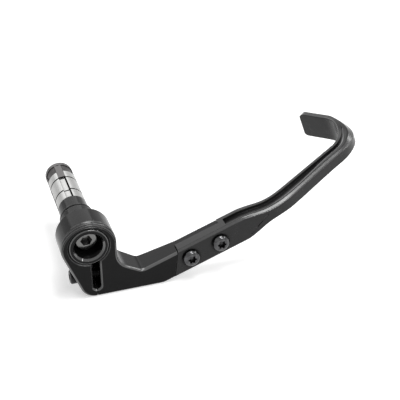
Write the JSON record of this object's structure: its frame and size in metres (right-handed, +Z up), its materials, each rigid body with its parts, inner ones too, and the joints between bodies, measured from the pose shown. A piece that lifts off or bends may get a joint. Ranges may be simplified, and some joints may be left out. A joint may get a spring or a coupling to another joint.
{
  "type": "brake lever guard",
  "caption": "Motorbike brake lever guard: a split clamp on an expanding bar-end plug carries a bolted blade that bends forward and hooks in front of the lever's tip.",
  "frame": {"origin": "on the handlebar's axis, in the plane where the plug's shoulder meets the end of the bar", "axes": "+X outward along the bar, +Y forward to the lever's tip, +Z up"},
  "size_m": [0.0911, 0.1976, 0.0655],
  "materials": {
    "bracket_black": "satin black anodised",
    "sleeve_black": "gloss black anodised",
    "nut_black": "black anodised",
    "jaw_aluminium": "bare, turned",
    "bright_steel": "bright zinc plate",
    "black_steel": "black, shiny",
    "rubber": "matt",
    "blade_nylon": "fine-grained moulded nylon"
  },
  "bodies": {
    "bar_plug": {"bar_end_sleeve": "sleeve_black", "bolt_washer": "bright_steel", "draw_bolt": "bright_steel", "cone_nut": "nut_black", "expander_jaw_1": "jaw_aluminium", "expander_jaw_2": "jaw_aluminium", "expander_jaw_3": "jaw_aluminium", "expander_jaw_4": "jaw_aluminium", "jaw_ring_inner": "rubber", "jaw_ring_outer": "rubber"},
    "guard": {"clamp_bracket": "bracket_black", "clamp_screw": "black_steel", "guard_screw_rear": "black_steel", "guard_screw_front": "black_steel", "guard_blade": "blade_nylon"}
  },
  "joints": [
    {"name": "guard_swivel", "type": "hinge", "parent": "bar_plug", "child": "guard", "pos_m": [0.02575, 0, 0], "axis": [1, 0, 0], "continuous": true}
  ]
}
